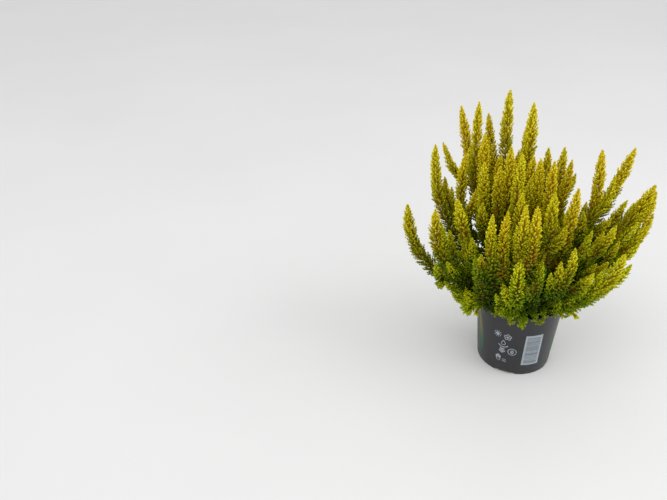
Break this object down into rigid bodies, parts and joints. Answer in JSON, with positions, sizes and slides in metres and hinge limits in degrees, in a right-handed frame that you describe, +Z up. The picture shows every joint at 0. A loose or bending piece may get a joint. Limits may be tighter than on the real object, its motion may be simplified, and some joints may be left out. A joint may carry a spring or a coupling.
{
  "type": "potted heather",
  "caption": "Golden heather with upright feathery shoots in a round dark nursery pot, for a table, sill or planter.",
  "frame": {"origin": "middle of the pot's underside, on the surface that the pot stands on", "axes": "+Z up along the pot's axis, -Y towards the viewer, +X to the viewer's right"},
  "size_m": [0.2637, 0.2131, 0.331],
  "materials": {
    "pot": "satin charcoal plastic, slightly bluish",
    "soil": "rough dark peat with crumbs and fibres",
    "wood": "rough red-brown bark",
    "foliage": "matt golden-yellow to green needle leaves"
  },
  "bodies": {
    "root": {"pot": "pot", "potting_soil": "soil", "woody_crown": "wood", "shoot_left_low": "foliage", "shoot_left_outer": "foliage", "shoot_left_front": "foliage", "shoot_left_back": "foliage", "shoot_left_inner": "foliage", "shoot_left_rim_a": "foliage", "shoot_left_rim_b": "foliage", "shoot_left_rim_c": "foliage", "shoot_front_fork_a": "foliage", "shoot_front_fork_b": "foliage", "shoot_front_twin_a": "foliage", "shoot_front_twin_b": "foliage", "shoot_front_low": "foliage", "shoot_front_short": "foliage", "shoot_front_right": "foliage", "shoot_front_inner": "foliage", "shoot_mid_a": "foliage", "shoot_mid_b": "foliage", "shoot_mid_c": "foliage", "shoot_mid_d": "foliage", "shoot_mid_e": "foliage", "shoot_mid_f": "foliage", "shoot_mid_g": "foliage", "shoot_top_a": "foliage", "shoot_top_b": "foliage", "shoot_top_c": "foliage", "shoot_top_d": "foliage", "shoot_top_e": "foliage", "shoot_right_a": "foliage", "shoot_right_b": "foliage", "shoot_right_tall": "foliage", "shoot_right_fork": "foliage", "shoot_right_outer": "foliage", "shoot_right_outer_b": "foliage", "shoot_right_outer_c": "foliage", "shoot_right_side": "foliage", "shoot_right_lower": "foliage", "shoot_right_low": "foliage", "shoot_right_rim": "foliage", "shoot_right_front": "foliage", "shoot_back_outer_1": "foliage", "shoot_back_outer_2": "foliage", "shoot_back_outer_3": "foliage", "shoot_back_outer_4": "foliage", "shoot_back_outer_5": "foliage", "shoot_back_outer_6": "foliage", "shoot_back_outer_7": "foliage", "shoot_back_middle_1": "foliage", "shoot_back_middle_2": "foliage", "shoot_back_middle_3": "foliage", "shoot_back_middle_4": "foliage", "shoot_back_middle_5": "foliage", "shoot_back_middle_6": "foliage", "shoot_back_inner_1": "foliage", "shoot_back_inner_2": "foliage", "shoot_back_inner_3": "foliage"}
  },
  "joints": []
}
